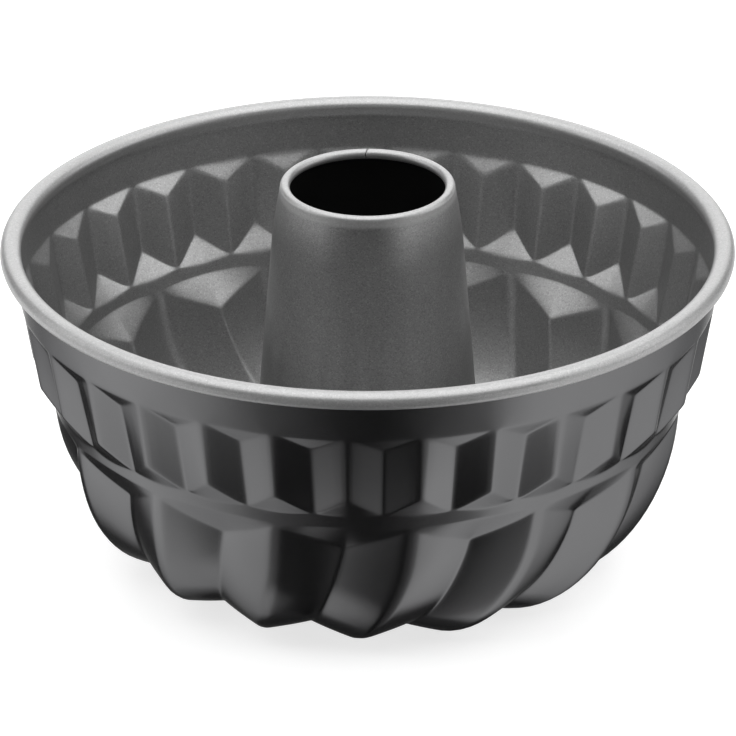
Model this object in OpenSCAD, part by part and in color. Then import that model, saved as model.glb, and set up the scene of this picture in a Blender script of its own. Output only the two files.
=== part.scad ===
// Gugelhupf pan: a pleated sheet-metal bowl with a rolled rim, and a tapered
// chimney tube crimped into the hole in the middle of its bottom.
// Millimetres, +Z up, origin on the resting plane under the chimney's axis.
// The front of the pan faces -Y. Angles count from there towards +X.

/* [Bowl] */
// Diameter over the rolled rim
rim_d = 232; // [190:1:300]
// Depth from the middle of the rolled rim to the resting plane
bowl_depth = 103.6; // [84:0.1:130]
// Thickness of the bowl's coated sheet
sheet_t = 0.6; // [0.4:0.1:1]
// Diameter of the rolled rim
bead_d = 5.4; // [4.6:0.1:8]
// Height of the plain band, from the middle of the rim to the ribs
band_h = 14.6; // [8:0.1:20]
// How far the plain band leans in over its height
band_lean = 1; // [0.4:0.1:3]

/* [Ribs] */
// Height of the ribbed zone
rib_h = 29.7; // [20:0.1:34]
// How far the ribbed zone leans in over its height
rib_lean = 9.1; // [7:0.1:12]
// Height of the sloped facet at the top of each groove
groove_top_h = 5.5; // [3:0.1:8]
// How far in that facet leads, so how deep the groove starts
groove_in = 3.7; // [2:0.1:5]
// Height of the sloped facet under each rib
rib_foot_h = 6.2; // [3:0.1:9]
// How far the rib stands out above that facet
rib_out = 5.3; // [3:0.1:6.5]
// Height of the plain ledge between the ribs and the flutes
ledge_h = 6.1; // [2:0.1:9]
// How far the ledge leans in over its height
ledge_lean = 1; // [0.1:0.1:2]

/* [Flutes] */
// Number of flutes round the bowl, with two ribs over each
flute_count = 15; // [12:1:18]
// Depth of the grooves between the flutes, at their top
flute_depth = 6.1; // [3:0.1:8]
// Depth of the same grooves where the flutes are lowest
flute_foot_depth = 4.4; // [2:0.1:6]
// Height of the big facet at the top of each groove
facet_h = 10; // [5:0.1:14]
// Radius of the circle on which the flutes are lowest
bottom_r = 64; // [54:0.5:68]
// How far the flutes turn on their way down to the chimney, in degrees
swirl_deg = 38; // [0:1:45]
// Turn of the first rib from the front, in degrees
rib_turn_deg = -3.3; // [-12:0.1:12]
// How far the flutes lag behind the ribs above them, in degrees
flute_lag_deg = 0.2; // [0:0.1:3]
// Height by which the lowest crests are flattened into feet
rest_flat_h = 0.6; // [0.5:0.1:1]

/* [Chimney] */
// Height of the chimney's lip over the middle of the rim
chimney_rise = 21.4; // [5:0.1:40]
// Outside diameter of the tube where it passes through the bowl
tube_foot_d = 76; // [66:0.5:84]
// Outside diameter of the tube at its rolled lip
tube_top_d = 55.6; // [44:0.1:64]
// Height of the neck under the lip, over which the tube is drawn in
neck_h = 8; // [3:0.1:12]
// How far the neck is drawn in
neck_in = 0.8; // [0.1:0.1:1.5]
// Thickness of the tube's sheet
tube_t = 0.6; // [0.4:0.1:1]
// Diameter of the lip, which is rolled inwards
lip_d = 3.6; // [3:0.1:6]
// Width of the open seam in the lip, at the back
seam_w = 0.4; // [0.2:0.1:1]
// Height of the crimped seat over the lowest crests
seat_rise = 8; // [6:0.1:12]
// Width of the flat seat round the hole
seat_w = 3.5; // [2:0.1:5]
// Width of the flange under the seat
flange_w = 2.8; // [1.5:0.1:4]
// Radius of the swaged ring that holds the seat from above
swage_r = 1.5; // [1.3:0.1:2.2]
// Play between the bowl and the tube in the crimp
crimp_gap = 0.05; // [0.02:0.01:0.1]

/* [Hidden] */
$fn = 96;

// Rolled rim: middle and radii of the roll, and the angle at which its edge stops short of the wall
bead_r = bead_d / 2;
bead_core_r = bead_r - sheet_t;
bead_mid_r = rim_d / 2 - bead_r;
bead_end_deg = 305;
bead_back_steps = 5;
bead_face_steps = 9;

// Wall rings on the outer face: [radius, height under the middle of the rim]
top_ring = [bead_mid_r - bead_core_r, 0];
band_ring = top_ring - [band_lean, band_h];
ledge_ring = band_ring - [rib_lean, rib_h];
flute_ring = ledge_ring - [ledge_lean, ledge_h];
groove_top = band_ring - [groove_in, groove_top_h];
rib_foot = ledge_ring + [rib_out, rib_foot_h];

// Where the rows of points at the two ends of a rib stand on its crest and in its groove
rib_top_share = 0.08;
groove_foot_share = 0.9;
rib_top = band_ring + rib_top_share * (rib_foot - band_ring);
groove_foot = groove_top + groove_foot_share * (ledge_ring - groove_top);

// Angles round one rib: half its flat crest, and half the land between the facets
rib_pitch = 180 / flute_count;
rib_crest_share = 0.055;
rib_land_share = 0.12;
rib_crest_half = rib_crest_share * rib_pitch;
rib_land_half = rib_land_share * rib_pitch;
rib_facet_half = (0.5 - rib_land_share) * rib_pitch;

// Crest line of a flute: an ellipse down to the lowest circle, then a soft rise to the seat
hole_r = tube_foot_d / 2 + crimp_gap;
flute_drop = bowl_depth + rest_flat_h + flute_ring[1];
flute_run = flute_ring[0] - bottom_r;
rise_run = bottom_r - hole_r - seat_w;
swirl_power = 1.4;
crest_power = 1.06;

// Round one flute: share of the flute's pitch and share of the groove's depth at each point
flute_pitch = 360 / flute_count;
flute_section_shares = [
    [0, 1], [0.15, 0.67], [0.3, 0.35], [0.46, 0],
    [0.5, 0], [0.54, 0], [0.7, 0.35], [0.85, 0.67]
];
flute_points = len(flute_section_shares);

// Rows of points down a flute: turn along the ellipse in degrees, then share of the rise
flute_turns = [20, 33, 46, 58, 70, 82];
rise_shares = [0.15, 0.4, 0.7, 1];
facet_turn = asin(pow(facet_h / flute_drop, 1 / crest_power));
facet_start_turn = 1.5;

// Chimney: the roll's middle, and the crimp's levels over the resting plane
tube_foot_r = tube_foot_d / 2;
tube_top_r = tube_top_d / 2;
lip_r = lip_d / 2;
lip_mid_r = tube_top_r - lip_r;
lip_mid_z = bowl_depth + chimney_rise - lip_r;
lip_end_deg = 300;
seat_z = seat_rise - rest_flat_h;
flange_top_z = seat_z - crimp_gap;
swage_half_deg = acos(tube_t / swage_r);
swage_z = seat_z + sheet_t + crimp_gap + swage_r * sin(swage_half_deg);
arc_steps = 12;

// Where the neck begins on the tube's cone
neck_share = 1 - neck_h / (lip_mid_z - swage_z);
neck = [
    tube_foot_r + (tube_top_r + neck_in - tube_foot_r) * neck_share,
    lip_mid_z - neck_h
];
overrun = 1;

// One ring of points, each [radius, height, angle], from eight radius and height pairs and their angles
function ring(angles, places) = [
    for (f = [0:flute_count - 1], j = [0:flute_points - 1])
        [places[j][0], places[j][1], f * flute_pitch + angles[j]]
];

// Ring through the ribs: crest, side, groove and side, for the two ribs over a flute
function rib_angles(side) = [
    for (rib = [0, 1], a = [0, side, rib_pitch / 2, rib_pitch - side])
        rib_turn_deg + rib * rib_pitch + a
];
function rib_ring(side, crest, groove) = ring(rib_angles(side), [
    for (rib = [0, 1], place = [crest, crest, groove, crest]) place
]);
function plain_ring(side, place) = rib_ring(side, place, place);

// Turn of the flutes at a share of the way from the ledge to the seat
function swirl(share) = -swirl_deg * pow(share, swirl_power);
function flute_angles(share) = [
    for (s = flute_section_shares)
        rib_turn_deg - flute_lag_deg + s[0] * flute_pitch + swirl(share)
];

// Crest and groove of a flute at a turn of the ellipse: the groove lies along its normal
function flattened(place) = [place[0], max(place[1], -bowl_depth)];
function crest_at(turn) = flute_ring + [
    flute_run * (pow(cos(turn), crest_power) - 1),
    -flute_drop * pow(sin(turn), crest_power)
];
function inward_at(turn) =
    let (v = [cos(turn) / flute_run, -sin(turn) / flute_drop]) -v / norm(v);
function groove_depth(turn) = flute_depth + (flute_foot_depth - flute_depth) * turn / 90;
function flute_place(turn, depth_share) =
    flattened(crest_at(turn) + depth_share * groove_depth(turn) * inward_at(turn));
function flute_row(turn) = ring(
    flute_angles(turn / 180),
    [for (s = flute_section_shares) flute_place(turn, s[1])]
);

// Lower edge of the big facets: it falls from the crests to the grooves
function facet_row() = ring(
    flute_angles(facet_turn / 180),
    [for (s = flute_section_shares) flute_place(facet_start_turn + s[1] * (facet_turn - facet_start_turn), s[1])]
);

// Rise from the lowest circle to the seat, where the grooves fade out
function rise_place(share, depth_share) = flattened([
    bottom_r - rise_run * share,
    -bowl_depth - rest_flat_h + seat_rise * (1 - cos(180 * share)) / 2
        + depth_share * flute_foot_depth * (1 - share)
]);
function rise_row(share) = ring(
    flute_angles((1 + share) / 2),
    [for (s = flute_section_shares) rise_place(share, s[1])]
);

// A point of the rolled rim, by its angle over the top of the roll
function bead_place(radius, angle) = [bead_mid_r - radius * cos(angle), radius * sin(angle)];

// Outer face of the sheet under the rim, from the top of the wall to the edge of the hole
wall_rows = [
    plain_ring(rib_land_half, top_ring),
    plain_ring(rib_land_half, band_ring),
    rib_ring(rib_crest_half, rib_top, groove_top),
    rib_ring(rib_crest_half, rib_foot, groove_foot),
    plain_ring(rib_facet_half, ledge_ring),
    ring(flute_angles(0), [for (s = flute_section_shares) flute_ring]),
    facet_row(),
    for (turn = flute_turns) flute_row(turn),
    for (share = rise_shares) rise_row(share),
    ring(flute_angles(1), [for (s = flute_section_shares) [hole_r, -bowl_depth + seat_z]])
];

// The hidden face of the roll, from its free edge back to the wall
bead_back_rows = [
    for (i = [0:bead_back_steps - 1])
        plain_ring(rib_land_half, bead_place(bead_core_r, bead_end_deg * (1 - i / bead_back_steps)))
];

// The seen face of the roll, from the inside of the wall to its free edge
bead_face_rows = [
    for (i = [0:bead_face_steps])
        plain_ring(rib_land_half, bead_place(bead_r, bead_end_deg * i / bead_face_steps))
];

// The same points in space, on the resting plane's frame
function in_space(p) = [p[0] * sin(p[2]), -p[0] * cos(p[2]), p[1] + bowl_depth];
function row_in_space(row) = [for (p = row) in_space(p)];
function rows_in_space(rows) = [for (row = rows) row_in_space(row)];

// Direction from the outer face to the inner face at a point of the wall, square to the sheet
ring_points = flute_count * flute_points;
function along(rows, i, j) =
    rows[min(i + 1, len(rows) - 1)][j] - rows[max(i - 1, 0)][j];
function across(row, j) =
    row[(j + 1) % ring_points] - row[(j + ring_points - 1) % ring_points];
function square_in(rows, i, j) =
    let (v = cross(across(rows[i], j), along(rows, i, j))) v / norm(v);
function inner_rows(rows) = [
    for (i = [1:len(rows) - 1])
        [for (j = [0:ring_points - 1]) rows[i][j] + sheet_t * square_in(rows, i, j)]
];

// Triangles between neighbouring rows, whose diagonals follow the folds of the ribs
rib_foot_row = bead_back_steps + 3;
function falls(row, j) = (j % 4 < 2) != (row == rib_foot_row);
function quad(a, b, c, d, fall) = fall ? [[a, c, b], [a, d, c]] : [[a, d, b], [b, d, c]];
function shell_faces(count) = [
    for (i = [0:count - 1], j = [0:ring_points - 1])
        let (
            k = (j + 1) % ring_points,
            upper = i * ring_points,
            lower = (i + 1) % count * ring_points
        )
        for (face = quad(upper + j, lower + j, lower + k, upper + k, falls(i, j))) face
];

module bowl_shell() {
    outer = rows_in_space(wall_rows);
    inner = inner_rows(outer);
    rows = concat(
        rows_in_space(bead_back_rows),
        outer,
        [for (i = [len(inner) - 1:-1:0]) inner[i]],
        rows_in_space(bead_face_rows)
    );
    color([0.24, 0.24, 0.25])
        polyhedron(points = [for (row = rows) each row], faces = shell_faces(len(rows)), convexity = 10);
}

// Points along an arc in the half section
function arc(mid, radius, from_deg, to_deg, steps) = [
    for (i = [0:steps])
        let (a = from_deg + (to_deg - from_deg) * i / steps) mid + radius * [cos(a), sin(a)]
];

// Half section of the tube: flange, swaged ring, wall and the lip rolled inwards, then back inside
module tube_section() {
    polygon(concat(
        [[tube_foot_r + flange_w, flange_top_z - tube_t]],
        [[tube_foot_r + flange_w, flange_top_z], [tube_foot_r, flange_top_z]],
        arc([tube_foot_r - tube_t, swage_z], swage_r, -swage_half_deg, swage_half_deg, arc_steps),
        [neck],
        arc([lip_mid_r, lip_mid_z], lip_r, 0, lip_end_deg, 2 * arc_steps),
        arc([lip_mid_r, lip_mid_z], lip_r - tube_t, lip_end_deg, 0, arc_steps),
        [neck - [tube_t, 0]],
        arc([tube_foot_r - tube_t, swage_z], swage_r - tube_t, 90, -90, arc_steps),
        [[tube_foot_r - tube_t, flange_top_z - tube_t]]
    ));
}

module chimney_tube() {
    color([0.38, 0.38, 0.39])
        difference() {
            rotate_extrude() tube_section();
            // Open seam in the lip, at the back
            translate([-seam_w / 2, 0, lip_mid_z - lip_r])
                cube([seam_w, tube_top_d, lip_d + overrun]);
        }
}

bowl_shell();
chimney_tube();
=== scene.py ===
import math

import bmesh
import bpy
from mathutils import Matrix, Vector


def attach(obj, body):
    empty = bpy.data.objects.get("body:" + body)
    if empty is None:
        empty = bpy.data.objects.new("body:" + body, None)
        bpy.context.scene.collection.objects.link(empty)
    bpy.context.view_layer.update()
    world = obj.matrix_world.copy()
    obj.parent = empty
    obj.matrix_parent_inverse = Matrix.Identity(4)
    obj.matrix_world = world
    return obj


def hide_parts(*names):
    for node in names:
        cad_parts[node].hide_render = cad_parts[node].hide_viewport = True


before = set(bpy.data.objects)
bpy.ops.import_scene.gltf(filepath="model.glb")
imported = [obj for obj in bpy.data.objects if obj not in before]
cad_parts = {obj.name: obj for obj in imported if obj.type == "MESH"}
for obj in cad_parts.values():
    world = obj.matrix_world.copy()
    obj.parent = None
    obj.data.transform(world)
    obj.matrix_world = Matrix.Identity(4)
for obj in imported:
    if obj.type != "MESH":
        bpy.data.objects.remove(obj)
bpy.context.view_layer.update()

# A gugelhupf pan: one deep-drawn sheet with a rolled rim, 30 short ribs and 15 swirled flutes,
# and a tapered chimney crimped into its bottom. Millimetres here, turned to metres in the meshes.
# Angles count in degrees from the front, which faces -Y, towards +X. Heights count from the floor.
MM = 0.001

# Bowl: the rolled rim and the plain band under it
RIM_R = 115.88
BOWL_DEPTH = 103.6
SHEET = 0.6
# The wall starts under a round roll of this radius, but the roll itself is drawn as an oval
ROUND_ROLL_R = 2.7
ROLL_HALF_W = 3.3
ROLL_HALF_H = 2.75
ROLL_MID_Z = 103.5
# The subdivision leaves this share of the roll's radius, so it is drawn that much wider
ROLL_KEPT_SHARE = 0.935
ROLL_TURNS = (300, 260, 222, 184, 146, 112, 80, 50, 24, 0)
BAND_H = 14.6
BAND_LEAN = 1.0
BAND_SHARES = (0.17, 0.3, 0.65)
BAND_END_SHARE = 0.93

# Ribs
RIB_H = 29.7
RIB_LEAN = 9.1
GROOVE_TOP_H = 5.5
GROOVE_IN = 3.7
GROOVE_FOOT_SHARE = 0.985
RIB_TOP_SHARE = 0.08
RIB_FOOT_H = 6.8
RIB_OUT = 5.3
RIB_SHARES = (0.05, 0.35, 0.65, 0.95)
# Rows close to a fold keep it sharp
FOLD_SHARES = (0.22, 0.8)
# Angles of the points between a crest and the next groove: evenly spread, and as the crests need them
EVEN_ANGLES = (0, 1.5, 3, 4.5, 6)
CREST_ANGLES = (0, 0.6, 1.05, 1.44, 6)
CREST_TOP_HALF = 0.66
CREST_FOOT_HALF = 0.5
# Points on a rib's side, and how far they hang down at its foot, which also takes them in a little
SIDE_SHARES = (0.74, 0.9)
SIDE_DROPS = (1.3, 0.4)
NO_DROPS = (0, 0)
DROP_IN_SHARE = 0.2
LEDGE_H = 6.1
LEDGE_LEAN = 1.0
# Angle from a crest, and how far down the ledge the ribs' undersides reach there
LEDGE_TOP_SHARES = ((0, 0.22), (2.4, 0.19), (4.5, 0.11), (5.3, 0.1), (6, 0.1))
LEDGE_SHARES = (0.14, 0.9)

# Flutes
FLUTES = 15
FLUTE_DEEP = 6.1
FLUTE_FOOT_DEEP = 4.4
# The big facet at a groove's top: its height, the turn at which it ends on a crest, and how far its
# upper edge reaches up into the ledge, at a crest and so much more in a groove
FACET_H = 10.0
FACET_CREST_TURN = 1.5
FACET_TOP_RISE = 0.5
FACET_TOP_BOW = 0.9
FACET_SHARES = (0.09, 0.91)
UNDER_FACET_SHARES = (0.12, 0.5)
FLUTE_TURNS = (20, 29, 38, 47, 56, 65, 74, 83)
BOTTOM_R = 64.0
SWIRL_DEG = 38.0
SWIRL_POWER = 1.4
CREST_POWER = 1.06
RIB_TURN = -3.3
FLUTE_LAG = 0.2
FOOT_FLAT = 0.6
# Across half a flute: share of its width, and share of the groove's depth
HALF_SECTION_SHARES = [
    (0, 1),
    (0.03, 0.934),
    (0.11, 0.755),
    (0.21, 0.54),
    (0.31, 0.33),
    (0.41, 0.11),
    (0.455, 0.012),
    (0.485, 0),
]
# Steps across one flute, and across the two ribs over it
WEDGE_STEPS = 2 * len(HALF_SECTION_SHARES)

# Chimney and its crimp
CHIMNEY_RISE = 21.4
TUBE_FOOT_R = 38.0
TUBE_TOP_R = 27.65
TUBE_SHEET = 0.6
NECK_H = 8.0
NECK_IN = 0.8
NECK_STEPS = 10
SHOULDER_H = 7.5
SHOULDER_OUT = 0.9
CONE_SHARES = (0.2, 0.4, 0.6, 0.8, 0.97)
# The lip's roll, the angles between which it is open, and where its outer line leaves the roll
LIP_R = 1.6
LIP_UNDER_TOP = 0.01
LIP_POINTS = 36
LIP_OPEN_FROM = 302
LIP_OPEN_TO = 358
LIP_END_DROP = 0.4
SEAM_W = 0.25
SEAM_SLANT = 0.39
# Faces this near to the seam are cut along its two edges
SEAM_CUT_REACH = 3.0
SEAT_RISE = 8.0
SEAT_W = 3.5
SEAT_SHARES = (0.6, 0)
RISE_SHARES = (0.04, 0.2, 0.4, 0.6, 0.8, 0.93, 1)
SWAGE_R = 1.5
SWAGE_STEPS = 10
CRIMP_GAP = 0.05
FLANGE_W = 2.8
# The small bend between the tube and its flange: how far out and how far up
FOOT_BEND = ((0, 0.25), (0.08, 0.05), (0.3, 0))
TUBE_STEPS = 192
# Points closer than this are merged
MERGE = 0.02

RIB_STEP = 180 / FLUTES
FLUTE_STEP = 360 / FLUTES

# Coats. A rolled edge's coat is blended in over this height to either side of its lower end
ROLLED_FADE = 0.6
RIM_COAT_Z = 101.0
LIP_COAT_Z = 121.6
# On flat sheet, and where bending has dulled the flakes and smoothed the grit
FLAKE_METALLIC = (0.9, 0.6)
FLAKE_ROUGHNESS = (0.37, 0.4)
GRIT_SHARES = (1.0, 0.45)
FLECK_SHARES = (1.0, 0.7)
# Real flakes and grit are about 0.1 mm, too fine to show, so they are drawn as coarse as they need to be
GRIT_SIZE = 0.55
GRIT_BUMP = 0.012
FLAKE_SIZE = 0.35
# A third of the flakes runs from dark to the base grey, and a fifth from there to light
FLAKE_STOPS = (0.0, 0.35, 0.8, 1.0)
# The spray's wide clouds, and how much rougher or smoother the coat is in them
SPRAY_CLOUD = 30.0
SPRAY_DRIFT = 0.05
# The smooth coat's orange peel, and the clouds that the roller leaves
PEEL_SIZE = 2.5
PEEL_BUMP = 0.006
ROLLER_CLOUD = 35.0
ROLLER_STOPS = (0.3, 0.7)
ROLLER_DRIFT = 0.02

# Studio, in metres, and strengths where 1 is white
GROUND_SIZE = 8
FLOOR_Z = -0.0002
FLOOR_GREY = "#c8c8c8"
FLOOR_GLOW = 0.72
ROOM_GLOW = 0.08
# The card that the gloss shows lies this far under the floor, and is a little whiter at the left
CARD_Z = -0.08
CARD_LEFT_X = -0.4
CARD_RIGHT_X = 0.2
CARD_LEFT_GLOW = 1.36
CARD_RIGHT_GLOW = 1.12
# In front of the pan the felt opens like a fan from this point: degrees from straight forwards, and cover
FAN_POINT = (-0.01, -0.03)
# A radial gradient runs from 0 to 1 once round, and is here where it looks straight forwards
FAN_FORWARDS = 0.25
FAN_COVER_SHARES = [
    (-88, 0.0),
    (-75, 0.12),
    (-60, 0.3),
    (-50, 0.44),
    (-40, 0.66),
    (-31, 0.81),
    (-18, 0.9),
    (-8, 0.96),
    (6, 0.98),
    (12, 0.96),
    (20, 0.9),
    (30, 0.8),
    (39, 0.68),
    (46, 0.25),
    (54, 0.0),
]
# A thin place in the fan, and the pan's shadow on the floor painted onto the card as the gloss would show
# it: an oval of painted shadow behind the pan, and a round one under it
THIN_PLACE = {"middle": (-0.056, -0.09), "stretch": 1, "full": 0.014, "end": 0.042, "cover": 0.45}
BACK_PAINTED_SHADOW = {"middle": (-0.02, 0.12), "stretch": 1.9, "full": 0.105, "end": 0.135, "cover": 0.85}
FOOT_PAINTED_SHADOW = {"middle": (0, 0), "stretch": 1, "full": 0.062, "end": 0.086, "cover": 0.9}
PAN_MIDDLE = (0, 0, 0.05)
# Softboxes: name, place, aim, width, height and strength
SOFT_BOXES = [
    ("left_box", (-1.6, 0, 0.85), PAN_MIDDLE, 1.6, 1.4, 1.25),
    ("right_box", (1.6, 0, 0.85), PAN_MIDDLE, 1.6, 1.4, 1.4),
    ("top_box", (0, 0.15, 1.5), (0, 0.15, 0), 2.3, 2.3, 2.25),
    ("right_strip", (1.2, -1.05, 0.16), (0, 0, 0.1), 0.9, 0.26, 1.2),
    ("left_strip", (-1.4, -0.85, 0.14), (0, 0, 0.1), 0.45, 0.24, 1.0),
    ("back_box", (0, 1.7, 0.75), PAN_MIDDLE, 2.0, 1.3, 1.6),
]
CAMERA_ELEVATION = 25.63
CAMERA_DISTANCE = 1.9163
CAMERA_AIM_Z = 0.0603
CAMERA_LENS = 294.06
CAMERA_SENSOR = 36
CAMERA_SHIFT = 0.0006


def in_space(radius, height, angle):
    """A point given by its radius, its height over the floor and its angle, in metres."""
    a = math.radians(angle)
    return Vector((radius * math.sin(a), -radius * math.cos(a), height)) * MM


def angle_of(point):
    return math.degrees(math.atan2(point.x, -point.y))


def between(row_a, row_b, share):
    return [a.lerp(b, share) for a, b in zip(row_a, row_b)]


def along(a, b, share):
    return tuple(x + (y - x) * share for x, y in zip(a, b))


# The wall's rings: radius and height
top_ring = (RIM_R - 2 * ROUND_ROLL_R + SHEET, BOWL_DEPTH)
band_ring = (top_ring[0] - BAND_LEAN, top_ring[1] - BAND_H)
ledge_ring = (band_ring[0] - RIB_LEAN, band_ring[1] - RIB_H)
flute_ring = (ledge_ring[0] - LEDGE_LEAN, ledge_ring[1] - LEDGE_H)
groove_top = (band_ring[0] - GROOVE_IN, band_ring[1] - GROOVE_TOP_H)
groove_foot = along(groove_top, ledge_ring, GROOVE_FOOT_SHARE)
rib_foot = (ledge_ring[0] + RIB_OUT, ledge_ring[1] + RIB_FOOT_H)
rib_top = along(band_ring, rib_foot, RIB_TOP_SHARE)

# The flutes' section over their whole width, and their course down to the hole
second_half = [(1 - across, depth) for across, depth in HALF_SECTION_SHARES[:0:-1]]
section = HALF_SECTION_SHARES + [(0.5, 0)] + second_half + [(1, 1)]
flute_drop = flute_ring[1] + FOOT_FLAT
flute_run = flute_ring[0] - BOTTOM_R
hole_r = TUBE_FOOT_R + CRIMP_GAP
rise_run = BOTTOM_R - hole_r - SEAT_W
seat_z = SEAT_RISE - FOOT_FLAT
facet_turn = math.degrees(math.asin((FACET_H / flute_drop) ** (1 / CREST_POWER)))
facet_turns = [FACET_CREST_TURN + depth * (facet_turn - FACET_CREST_TURN) for across, depth in section]


def rib_row(half):
    """One flute's width of a row through the ribs, from five points between a crest and the next groove."""
    row = []
    for rib in (0, 1):
        start = RIB_TURN + rib * RIB_STEP
        row += [in_space(r, z, start + a) for r, z, a in half]
        row += [in_space(r, z, start + RIB_STEP - a) for r, z, a in half[3:0:-1]]
    r, z, a = half[0]
    return row + [in_space(r, z, RIB_TURN + FLUTE_STEP)]


def plain_row(place, angles=EVEN_ANGLES):
    return rib_row([(*place, a) for a in angles])


def side_face(edge, groove):
    """Points on a rib's flat side, between its crest's edge and the groove, which is a straight line."""
    a, b = (in_space(*place) for place in (edge, groove))
    found = []
    for share in SIDE_SHARES:
        p = a.lerp(b, share) / MM
        found.append((math.hypot(p.x, p.y), p.z, angle_of(p)))
    return found


def rib_key_row(crest, groove, crest_half, drops=NO_DROPS):
    edge, bottom = (*crest, crest_half), (*groove, RIB_STEP / 2)
    side = []
    for (r, z, a), drop in zip(side_face(edge, bottom), drops):
        side.append((r - drop * DROP_IN_SHARE, z - drop, a))
    return rib_row([(*crest, 0), edge, *side, bottom])


def flute_angle(share_across, share_down):
    return RIB_TURN - FLUTE_LAG + share_across * FLUTE_STEP - SWIRL_DEG * share_down**SWIRL_POWER


def flute_place(turn, depth):
    """Radius and height on a flute, by the turn down its ellipse and the share of the groove's depth."""
    t = math.radians(turn)
    c, s = math.cos(t), math.sin(t)
    radius = flute_ring[0] + flute_run * (max(c, 0) ** CREST_POWER - 1)
    height = flute_ring[1] - flute_drop * s**CREST_POWER
    inward = Vector((-c / flute_run, s / flute_drop)).normalized()
    deep = depth * (FLUTE_DEEP + (FLUTE_FOOT_DEEP - FLUTE_DEEP) * turn / 90)
    return radius + deep * inward.x, max(height + deep * inward.y, 0)


def flute_row(turns, swirl_turn):
    places = [flute_place(turn, depth) for (across, depth), turn in zip(section, turns)]
    angles = [flute_angle(across, swirl_turn / 180) for across, depth in section]
    return [in_space(*place, angle) for place, angle in zip(places, angles)]


def roll_rows():
    """The rim's roll, from the sheet's free edge, which ends inside it, to the wall."""
    core_w = (ROLL_HALF_W - SHEET) / ROLL_KEPT_SHARE
    core_h = (ROLL_HALF_H - SHEET) / ROLL_KEPT_SHARE
    rows = []
    for turn in ROLL_TURNS:
        a = math.radians(turn)
        radius = RIM_R - ROLL_HALF_W - core_w * math.cos(a)
        rows.append(plain_row((radius, ROLL_MID_Z + core_h * math.sin(a))))
    return rows


def band_rows():
    """The plain band, whose last rows already have their points where the crests need them."""
    rows = [plain_row(along(top_ring, band_ring, share)) for share in BAND_SHARES]
    rows.append(plain_row(along(top_ring, band_ring, BAND_END_SHARE), CREST_ANGLES))
    return rows + [plain_row(band_ring, CREST_ANGLES)]


def rib_rows(band):
    """The ribs, whose undersides are triangles that reach lowest under the crests."""
    top = rib_key_row(rib_top, groove_top, CREST_TOP_HALF)
    foot = rib_key_row(rib_foot, groove_foot, CREST_FOOT_HALF, SIDE_DROPS)
    ledge = rib_row([(*along(ledge_ring, flute_ring, share), a) for a, share in LEDGE_TOP_SHARES])
    rows = [between(band, top, share) for share in FOLD_SHARES] + [top]
    rows += [between(top, foot, share) for share in RIB_SHARES] + [foot]
    return rows + [between(foot, ledge, share) for share in FOLD_SHARES] + [ledge]


def facet_rows(ledge):
    """The ledge, and the big facets at the tops of the flutes' grooves, which reach up into it."""
    top = []
    for across, depth in section:
        groove_share = abs(2 * across - 1)
        reach = FACET_TOP_RISE + FACET_TOP_BOW * groove_share * (2 - groove_share)
        top.append(in_space(*along(flute_ring, ledge_ring, reach / LEDGE_H), flute_angle(across, 0)))
    foot = flute_row(facet_turns, facet_turn)
    rows = [between(ledge, top, share) for share in LEDGE_SHARES] + [top]
    return rows + [between(top, foot, share) for share in FACET_SHARES] + [foot]


def flute_rows():
    """The flutes, from under their facets to just before the circle on which they are lowest."""
    rows = []
    first = FLUTE_TURNS[0]
    for share in UNDER_FACET_SHARES:
        turns = [turn + (first - turn) * share for turn in facet_turns]
        rows.append(flute_row(turns, facet_turn + (first - facet_turn) * share))
    return rows + [flute_row([turn] * len(section), turn) for turn in FLUTE_TURNS]


def rise_row(share):
    """A row between the lowest circle and the seat, where the grooves fade out."""
    radius = BOTTOM_R - rise_run * share
    low = -FOOT_FLAT + SEAT_RISE * (1 - math.cos(math.pi * share)) / 2
    heights = [max(low + depth * FLUTE_FOOT_DEEP * (1 - share), 0) for across, depth in section]
    angles = [flute_angle(across, (1 + share) / 2) for across, depth in section]
    return [in_space(radius, height, angle) for height, angle in zip(heights, angles)]


def seat_row(share):
    return [in_space(hole_r + SEAT_W * share, seat_z, flute_angle(across, 1)) for across, depth in section]


def wedge_rows():
    """One flute's width of the sheet's outer face, in rows from the rim's free edge down to the hole."""
    rows = roll_rows() + band_rows()
    rows += rib_rows(rows[-1])
    rows += facet_rows(rows[-1])
    rows += flute_rows()
    rows += [rise_row(share) for share in RISE_SHARES]
    return rows + [seat_row(share) for share in SEAT_SHARES]


def pick(mesh, wanted):
    """Selects in edit mode the faces, edges or points that wanted says, and nothing else."""
    edit = bmesh.from_edit_mesh(mesh)
    for part in (edit.verts, edit.edges, edit.faces):
        for item in part:
            item.select_set(False)
    for item in wanted(edit):
        item.select_set(True)
    edit.select_flush_mode()
    bmesh.update_edit_mesh(mesh)


def lower_row(mesh, last, row):
    """Extrudes the lowest row of points and moves each new point to its place in the next row."""
    bpy.ops.mesh.extrude_region_move(TRANSFORM_OT_translate={"value": (0, 0, 0)})
    edit = bmesh.from_edit_mesh(mesh)
    loose = [v for v in edit.verts if v.select]
    for here, there in zip(last, row):
        point = min(loose, key=lambda v: (v.co - here).length_squared)
        loose.remove(point)
        point.co = there
    bmesh.update_edit_mesh(mesh)


def merge_all(inside):
    """Merges doubled points, and makes all faces look the same way."""
    bpy.ops.mesh.select_all(action="SELECT")
    bpy.ops.mesh.remove_doubles(threshold=MERGE * MM)
    bpy.ops.mesh.normals_make_consistent(inside=inside)


def use_modifier(piece, kind, **settings):
    modifier = piece.modifiers.new(kind, kind)
    for key, value in settings.items():
        setattr(modifier, key, value)
    bpy.context.view_layer.objects.active = piece
    bpy.ops.object.modifier_apply(modifier=modifier.name)


def finish_piece(piece, name, node):
    piece.name = piece.data.name = name
    piece.data.polygons.foreach_set("use_smooth", [True] * len(piece.data.polygons))
    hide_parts(node)
    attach(piece, "root")


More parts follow.
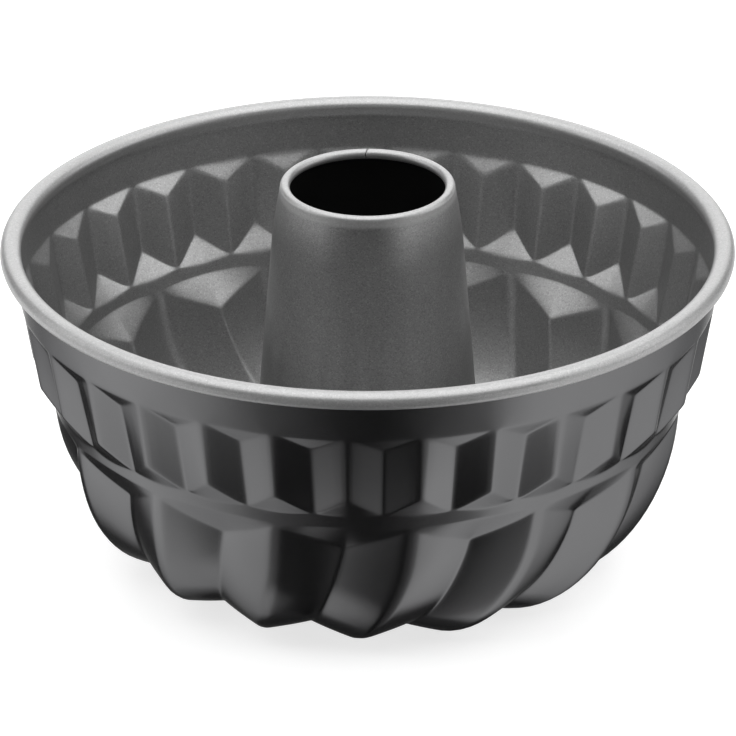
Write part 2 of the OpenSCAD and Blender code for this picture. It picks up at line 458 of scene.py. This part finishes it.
def make_bowl():
    """One flute with its two ribs is drawn out row by row, spun round the pan, smoothed and given a wall."""
    bpy.ops.object.select_all(action="DESELECT")
    rows = wedge_rows()
    first_r = rows[0][0].xy.length
    bpy.ops.mesh.primitive_circle_add(vertices=WEDGE_STEPS * FLUTES, radius=first_r, location=(0, 0, 0))
    bowl = bpy.context.object
    mesh = bowl.data
    bpy.ops.object.mode_set(mode="EDIT")
    # Of the circle, one flute's width of points stays
    step = FLUTE_STEP / WEDGE_STEPS
    width = FLUTE_STEP + step
    pick(mesh, lambda edit: [v for v in edit.verts if (angle_of(v.co) + step / 2) % 360 > width])
    bpy.ops.mesh.delete(type="VERT")
    edit = bmesh.from_edit_mesh(mesh)
    arc = sorted(edit.verts, key=lambda v: angle_of(v.co))
    for point, place in zip(arc, rows[0]):
        point.co = place
    bmesh.update_edit_mesh(mesh)
    bpy.ops.mesh.select_all(action="SELECT")
    for last, row in zip(rows, rows[1:]):
        lower_row(mesh, last, row)
    bpy.ops.mesh.select_all(action="SELECT")
    bpy.ops.mesh.spin(
        steps=FLUTES - 1,
        dupli=True,
        angle=math.radians(360 - FLUTE_STEP),
        center=(0, 0, 0),
        axis=(0, 0, 1),
    )
    # The sheet's outer face ends inside the roll, so its outermost faces look inwards there
    merge_all(inside=True)
    bpy.ops.object.mode_set(mode="OBJECT")
    for coat in (outside_coat, inside_coat):
        mesh.materials.append(coat)
    use_modifier(bowl, "SUBSURF", levels=1, render_levels=1)
    use_modifier(
        bowl,
        "SOLIDIFY",
        thickness=SHEET * MM,
        offset=-1,
        use_even_offset=True,
        material_offset=1,
        material_offset_rim=1,
    )
    return bowl


def tube_line(lip_z):
    """Radius and height of the tube's outer line, from the lip's roll at lip_z down to the flange's edge."""
    swage_half = math.acos(TUBE_SHEET / SWAGE_R)
    swage_z = seat_z + SHEET + CRIMP_GAP + SWAGE_R * math.sin(swage_half)
    neck_share = 1 - NECK_H / (lip_z - swage_z)
    neck = (TUBE_FOOT_R + (TUBE_TOP_R + NECK_IN - TUBE_FOOT_R) * neck_share, lip_z - NECK_H)
    shoulder = (neck[0] + SHOULDER_OUT, neck[1] - SHOULDER_H)
    top = (TUBE_TOP_R, lip_z - LIP_END_DROP)
    line = []
    for share in [i / NECK_STEPS for i in range(1, NECK_STEPS)]:
        line.append(along(along(top, neck, share), along(neck, shoulder, share), share))
    swage = []
    for turn in [swage_half * (1 - 2 * i / SWAGE_STEPS) for i in range(SWAGE_STEPS + 1)]:
        radius = TUBE_FOOT_R - TUBE_SHEET + SWAGE_R * math.cos(turn)
        swage.append((radius, swage_z + SWAGE_R * math.sin(turn)))
    line += [shoulder] + [along(shoulder, swage[0], share) for share in CONE_SHARES] + swage
    return line + [(TUBE_FOOT_R + out, seat_z - CRIMP_GAP + up) for out, up in (*FOOT_BEND, (FLANGE_W, 0))]


def open_seam(mesh, lip_mid):
    """Cuts the slanted open seam through the lip, at the back."""
    half_width = SEAM_W / 2 * MM
    lip_back = -lip_mid.y

    def near_seam(edit, reach):
        found = []
        for face in edit.faces:
            middle = face.calc_center_median()
            in_lip = middle.y > 0 and middle.z > lip_mid.z - LIP_R * MM
            if in_lip and abs(middle.x - SEAM_SLANT * (middle.y - lip_back)) < reach:
                found.append(face)
        return found

    for side in (-1, 1):
        pick(mesh, lambda edit: near_seam(edit, SEAM_CUT_REACH * MM))
        bpy.ops.mesh.bisect(plane_co=(side * half_width, lip_back, 0), plane_no=(1, -SEAM_SLANT, 0))
    pick(mesh, lambda edit: near_seam(edit, half_width))
    bpy.ops.mesh.delete(type="FACE")


def make_chimney():
    """The lip's roll starts as a circle, its end is drawn down to the flange, and the line is spun round."""
    bpy.ops.object.select_all(action="DESELECT")
    lip_z = BOWL_DEPTH + CHIMNEY_RISE - LIP_R - LIP_UNDER_TOP
    lip_mid = Vector((0, LIP_R - TUBE_TOP_R, lip_z)) * MM
    bpy.ops.mesh.primitive_circle_add(
        vertices=LIP_POINTS,
        radius=LIP_R * MM,
        location=lip_mid,
        rotation=(math.pi / 2, 0, math.pi / 2),
    )
    chimney = bpy.context.object
    bpy.ops.object.transform_apply(location=True, rotation=True, scale=True)
    mesh = chimney.data
    bpy.ops.object.mode_set(mode="EDIT")

    def roll_angle(v):
        return math.degrees(math.atan2(v.co.z - lip_mid.z, lip_mid.y - v.co.y)) % 360

    # The roll is open on the inside, where the lip's edge ends
    pick(mesh, lambda edit: [v for v in edit.verts if LIP_OPEN_FROM < roll_angle(v) < LIP_OPEN_TO])
    bpy.ops.mesh.delete(type="VERT")
    pick(mesh, lambda edit: [v for v in edit.verts if not 1 < roll_angle(v) < 359])
    for radius, height in tube_line(lip_z):
        bpy.ops.mesh.extrude_region_move(TRANSFORM_OT_translate={"value": (0, 0, 0)})
        edit = bmesh.from_edit_mesh(mesh)
        for v in edit.verts:
            if v.select:
                v.co = in_space(radius, height, 0)
        bmesh.update_edit_mesh(mesh)
    bpy.ops.mesh.select_all(action="SELECT")
    bpy.ops.mesh.spin(steps=TUBE_STEPS, angle=math.tau, center=(0, 0, 0), axis=(0, 0, 1))
    merge_all(inside=False)
    open_seam(mesh, lip_mid)
    bpy.ops.object.mode_set(mode="OBJECT")
    for coat in (tube_coat, bore_coat):
        mesh.materials.append(coat)
    wall = {"thickness": TUBE_SHEET * MM, "offset": -1, "use_even_offset": True, "material_offset": 1}
    use_modifier(chimney, "SOLIDIFY", **wall)
    return chimney


def linear(hex_colour):
    """An sRGB hex value as the linear colour that a shader reads."""
    parts = [int(hex_colour[i : i + 2], 16) / 255 for i in (1, 3, 5)]
    return [*(c / 12.92 if c <= 0.04045 else ((c + 0.055) / 1.055) ** 2.4 for c in parts), 1]


def add_node(tree, kind, settings=None, **links):
    """Adds a node: settings are its options, values and colour stops, links what feeds its sockets."""
    made = tree.nodes.new(kind)
    for key, value in (settings or {}).items():
        if key == "stops":
            elements = made.color_ramp.elements
            while len(elements) < len(value):
                elements.new(0.5)
            for element, (position, colour) in zip(elements, value):
                element.position = position
                element.color = colour
        elif isinstance(key, str) and hasattr(made, key):
            setattr(made, key, value)
        else:
            made.inputs[key].default_value = value
    # A link's name is its socket's name, or i and the socket's number
    for key, source in links.items():
        socket = int(key[1:]) if key[1:].isdigit() else key.replace("_", " ")
        tree.links.new(source, made.inputs[socket])
    return made


def new_material(name):
    material = bpy.data.materials.new(name)
    material.use_nodes = True
    material.node_tree.nodes.clear()
    return material, material.node_tree


def speckled_coat(name, dark, base, fleck, rolled_grey, rolled_from):
    """Sprayed PTFE non-stick coat with mica flakes: a grainy grey that lights up where it faces light."""
    material, tree = new_material(name)
    place = add_node(tree, "ShaderNodeTexCoord").outputs["Object"]
    height = add_node(tree, "ShaderNodeSeparateXYZ", {}, Vector=place).outputs[2]
    low, high = (rolled_from - ROLLED_FADE) * MM, (rolled_from + ROLLED_FADE) * MM
    blends = []
    for flat, rolled in (FLAKE_METALLIC, FLAKE_ROUGHNESS, GRIT_SHARES, FLECK_SHARES):
        limits = {"From Min": low, "From Max": high, "To Min": flat, "To Max": rolled}
        blends.append(add_node(tree, "ShaderNodeMapRange", limits, Value=height).outputs[0])
    metallic, gloss, grit_share, fleck_share = blends
    # Each flake has its own grey
    cells = add_node(tree, "ShaderNodeTexVoronoi", {"Scale": 1 / (FLAKE_SIZE * MM)}, Vector=place)
    flake = add_node(tree, "ShaderNodeSeparateColor", {}, Color=cells.outputs["Color"])
    stops = [(stop, linear(grey)) for stop, grey in zip(FLAKE_STOPS, (dark, base, base, fleck))]
    flakes = add_node(tree, "ShaderNodeValToRGB", {"stops": stops}, Fac=flake.outputs[0])
    mix = {"data_type": "RGBA", 6: linear(rolled_grey)}
    colour = add_node(tree, "ShaderNodeMix", mix, i0=fleck_share, i7=flakes.outputs["Color"])
    # The spray lies a little rougher in some places than in others
    spray = {"Scale": 1 / (SPRAY_CLOUD * MM), "Detail": 3.0}
    cloud = add_node(tree, "ShaderNodeTexNoise", spray, Vector=place)
    limits = {"To Min": -SPRAY_DRIFT, "To Max": SPRAY_DRIFT}
    drift = add_node(tree, "ShaderNodeMapRange", limits, Value=cloud.outputs[0])
    rough = add_node(tree, "ShaderNodeMath", {"operation": "ADD"}, i0=gloss, i1=drift.outputs[0])
    grains = {"Scale": 1 / (GRIT_SIZE * MM), "Detail": 1.0, "Roughness": 0.5}
    grit = add_node(tree, "ShaderNodeTexNoise", grains, Vector=place)
    depth = {"Distance": GRIT_BUMP * MM}
    bump = add_node(tree, "ShaderNodeBump", depth, Height=grit.outputs[0], Strength=grit_share)
    coat = add_node(
        tree,
        "ShaderNodeBsdfPrincipled",
        {},
        Base_Color=colour.outputs[2],
        Metallic=metallic,
        Roughness=rough.outputs[0],
        Normal=bump.outputs[0],
    )
    add_node(tree, "ShaderNodeOutputMaterial", {}, Surface=coat.outputs[0])
    return material


def smooth_coat(name, greys, roughness, metallic, edge):
    """Silicone-polyester coat, rolled on and stoved: dark, even and semi-gloss, with a faint orange peel."""
    material, tree = new_material(name)
    place = add_node(tree, "ShaderNodeTexCoord").outputs["Object"]
    roller = {"Scale": 1 / (ROLLER_CLOUD * MM), "Detail": 2.0}
    cloud = add_node(tree, "ShaderNodeTexNoise", roller, Vector=place)
    stops = [(stop, linear(grey)) for stop, grey in zip(ROLLER_STOPS, greys)]
    colour = add_node(tree, "ShaderNodeValToRGB", {"stops": stops}, Fac=cloud.outputs[0])
    limits = {"To Min": roughness - ROLLER_DRIFT, "To Max": roughness + ROLLER_DRIFT}
    rough = add_node(tree, "ShaderNodeMapRange", limits, Value=cloud.outputs[0])
    waves = {"Scale": 1 / (PEEL_SIZE * MM), "Detail": 1.0}
    peel = add_node(tree, "ShaderNodeTexNoise", waves, Vector=place)
    depth = {"Strength": 1.0, "Distance": PEEL_BUMP * MM}
    bump = add_node(tree, "ShaderNodeBump", depth, Height=peel.outputs[0])
    coat = add_node(
        tree,
        "ShaderNodeBsdfPrincipled",
        {"Metallic": metallic, "Specular Tint": linear(edge)},
        Base_Color=colour.outputs["Color"],
        Roughness=rough.outputs[0],
        Normal=bump.outputs[0],
    )
    add_node(tree, "ShaderNodeOutputMaterial", {}, Surface=coat.outputs[0])
    return material


def show_white(tree, strength):
    """The strength of a white ground's own light: only camera, glossy and transmission rays see it."""
    path = add_node(tree, "ShaderNodeLightPath")
    seen = path.outputs["Is Camera Ray"]
    for ray in ("Is Glossy Ray", "Is Transmission Ray"):
        either = add_node(tree, "ShaderNodeMath", {"operation": "MAXIMUM"}, i0=seen, i1=path.outputs[ray])
        seen = either.outputs[0]
    return add_node(tree, "ShaderNodeMath", {"operation": "MULTIPLY", 1: strength}, i0=seen).outputs[0]


def oval_cover(tree, place, middle, stretch, full, end, cover):
    """How much an oval patch covers, for the thin place in the felt and for the painted shadows: cover up to
    the radius full, then less and less up to end.
    """
    oval = {"vector_type": "TEXTURE", "Location": (*middle, CARD_Z), "Scale": (stretch, 1, 1)}
    oval = add_node(tree, "ShaderNodeMapping", oval, Vector=place)
    reach = add_node(tree, "ShaderNodeVectorMath", {"operation": "LENGTH"}, Vector=oval.outputs[0])
    fade = {"From Min": end, "From Max": full, "To Max": cover}
    return add_node(tree, "ShaderNodeMapRange", fade, Value=reach.outputs["Value"]).outputs[0]


def make_floor():
    """A white floor that keeps the pan's shadow. The gloss doesn't show it, but the card under it."""
    bpy.ops.object.select_all(action="DESELECT")
    bpy.ops.mesh.primitive_plane_add(size=GROUND_SIZE, location=(0, 0, FLOOR_Z))
    floor = bpy.context.object
    floor.name = "floor"
    material, tree = new_material("white_card")
    card = add_node(tree, "ShaderNodeBsdfDiffuse", {"Color": linear(FLOOR_GREY)})
    glow = add_node(tree, "ShaderNodeEmission", {}, Strength=show_white(tree, FLOOR_GLOW))
    both = add_node(tree, "ShaderNodeAddShader", {}, i0=card.outputs[0], i1=glow.outputs[0])
    # From below the floor is clear, so the pan's underside can be seen
    below = add_node(tree, "ShaderNodeNewGeometry").outputs["Backfacing"]
    clear = add_node(tree, "ShaderNodeBsdfTransparent")
    ground = add_node(tree, "ShaderNodeMixShader", {}, i0=below, i1=both.outputs[0], i2=clear.outputs[0])
    add_node(tree, "ShaderNodeOutputMaterial", {}, Surface=ground.outputs[0])
    floor.data.materials.append(material)
    floor.visible_glossy = False
    return floor


def make_low_card():
    """A white card under the floor, which only the pan's gloss shows: black felt in a fan before the pan,
    and painted shadow of the pan behind and under it.
    """
    bpy.ops.object.select_all(action="DESELECT")
    bpy.ops.mesh.primitive_plane_add(size=GROUND_SIZE, location=(0, 0, CARD_Z))
    card = bpy.context.object
    card.name = "low_card"
    bpy.ops.object.transform_apply(location=True)
    material, tree = new_material("white_card_with_black_felt_and_painted_shadow")
    material.cycles.emission_sampling = "NONE"
    place = add_node(tree, "ShaderNodeTexCoord").outputs["Object"]
    # The fan and its thin place
    to_point = {"operation": "SUBTRACT", 1: (*FAN_POINT, 0)}
    from_point = add_node(tree, "ShaderNodeVectorMath", to_point, i0=place)
    radial = {"gradient_type": "RADIAL"}
    turn = add_node(tree, "ShaderNodeTexGradient", radial, Vector=from_point.outputs[0])
    stops = [(FAN_FORWARDS + degrees / 360, (cover, cover, cover, 1)) for degrees, cover in FAN_COVER_SHARES]
    fan = add_node(tree, "ShaderNodeValToRGB", {"stops": stops}, Fac=turn.outputs["Fac"])
    thin = oval_cover(tree, place, **THIN_PLACE)
    kept = add_node(tree, "ShaderNodeMath", {"operation": "SUBTRACT", 0: 1.0}, i1=thin)
    product = {"operation": "MULTIPLY"}
    front = add_node(tree, "ShaderNodeMath", product, i0=fan.outputs["Color"], i1=kept.outputs[0])
    # Where pieces overlap, the one that covers most counts
    cover = front.outputs[0]
    # The ovals behind and under the pan are painted shadow: the floor's shade there, as the gloss would show
    # it
    for piece in (BACK_PAINTED_SHADOW, FOOT_PAINTED_SHADOW):
        felt = oval_cover(tree, place, **piece)
        cover = add_node(tree, "ShaderNodeMath", {"operation": "MAXIMUM"}, i0=cover, i1=felt).outputs[0]
    bare = add_node(tree, "ShaderNodeMath", {"operation": "SUBTRACT", 0: 1.0}, i1=cover)
    across = add_node(tree, "ShaderNodeSeparateXYZ", {}, Vector=place).outputs[0]
    limits = {"From Min": CARD_LEFT_X, "From Max": CARD_RIGHT_X}
    limits |= {"To Min": CARD_LEFT_GLOW, "To Max": CARD_RIGHT_GLOW}
    white = add_node(tree, "ShaderNodeMapRange", limits, Value=across)
    shine = add_node(tree, "ShaderNodeMath", product, i0=bare.outputs[0], i1=white.outputs[0])
    glow = add_node(tree, "ShaderNodeEmission", {}, Strength=shine.outputs[0])
    add_node(tree, "ShaderNodeOutputMaterial", {}, Surface=glow.outputs[0])
    card.data.materials.append(material)
    card.visible_camera = card.visible_diffuse = card.visible_shadow = False
    return card


def soft_box(name, place, aim, width, height, strength):
    """A softbox whose face shines with the given strength."""
    light = bpy.data.lights.new(name, "AREA")
    light.shape = "RECTANGLE"
    light.size, light.size_y = width, height
    light.energy = strength * width * height * math.pi
    box = bpy.data.objects.new(name, light)
    bpy.context.scene.collection.objects.link(box)
    box.location = place
    box.rotation_euler = (Vector(aim) - Vector(place)).to_track_quat("-Z", "Y").to_euler()
    box.visible_camera = False


def make_world():
    """A dim room, which the camera sees as a white backdrop. The pan's gloss shows it dim."""
    world = bpy.data.worlds.new("studio")
    bpy.context.scene.world = world
    world.use_nodes = True
    tree = world.node_tree
    tree.nodes.clear()
    white = add_node(tree, "ShaderNodeBackground", {"Color": (1, 1, 1, 1)}, Strength=show_white(tree, 1.0))
    dim = add_node(tree, "ShaderNodeBackground", {"Color": (1, 1, 1, 1), "Strength": ROOM_GLOW})
    camera = add_node(tree, "ShaderNodeLightPath").outputs["Is Camera Ray"]
    both = add_node(tree, "ShaderNodeMixShader", {}, i0=camera, i1=dim.outputs[0], i2=white.outputs[0])
    add_node(tree, "ShaderNodeOutputWorld", {}, Surface=both.outputs[0])


def make_camera():
    """A long lens that looks down on the pan from the front."""
    elevation = math.radians(CAMERA_ELEVATION)
    camera = bpy.data.objects.new("camera", bpy.data.cameras.new("camera"))
    bpy.context.scene.collection.objects.link(camera)
    height = CAMERA_DISTANCE * math.sin(elevation) + CAMERA_AIM_Z
    camera.location = (0, -CAMERA_DISTANCE * math.cos(elevation), height)
    camera.rotation_euler = (math.pi / 2 - elevation, 0, 0)
    camera.data.sensor_width = CAMERA_SENSOR
    camera.data.lens = CAMERA_LENS
    camera.data.shift_x = CAMERA_SHIFT
    bpy.context.scene.camera = camera


bpy.context.scene.view_settings.view_transform = "Standard"
make_camera()
floor = make_floor()
card = make_low_card()
for box in SOFT_BOXES:
    soft_box(*box)
make_world()

outside_coat = smooth_coat("silicone_polyester_coat", ("#707071", "#747475"), 0.15, 0.96, "#9c9c9c")
# Deep in the bore no light reaches the same coat, so it is drawn as good as black
bore_coat = smooth_coat("silicone_polyester_in_shade", ("#060606", "#090909"), 0.5, 0.0, "#ffffff")
inside_coat = speckled_coat("ptfe_mica_coat", "#979797", "#a9a9a9", "#bcbcbc", "#b1b1b1", RIM_COAT_Z)
tube_coat = speckled_coat("ptfe_mica_coat_on_tube", "#8c8c8c", "#9d9d9d", "#afafaf", "#cdcdcd", LIP_COAT_Z)

bowl = make_bowl()
finish_piece(bowl, "fluted_bowl", "bowl_shell")

chimney = make_chimney()
finish_piece(chimney, "tapered_chimney", "chimney_tube")
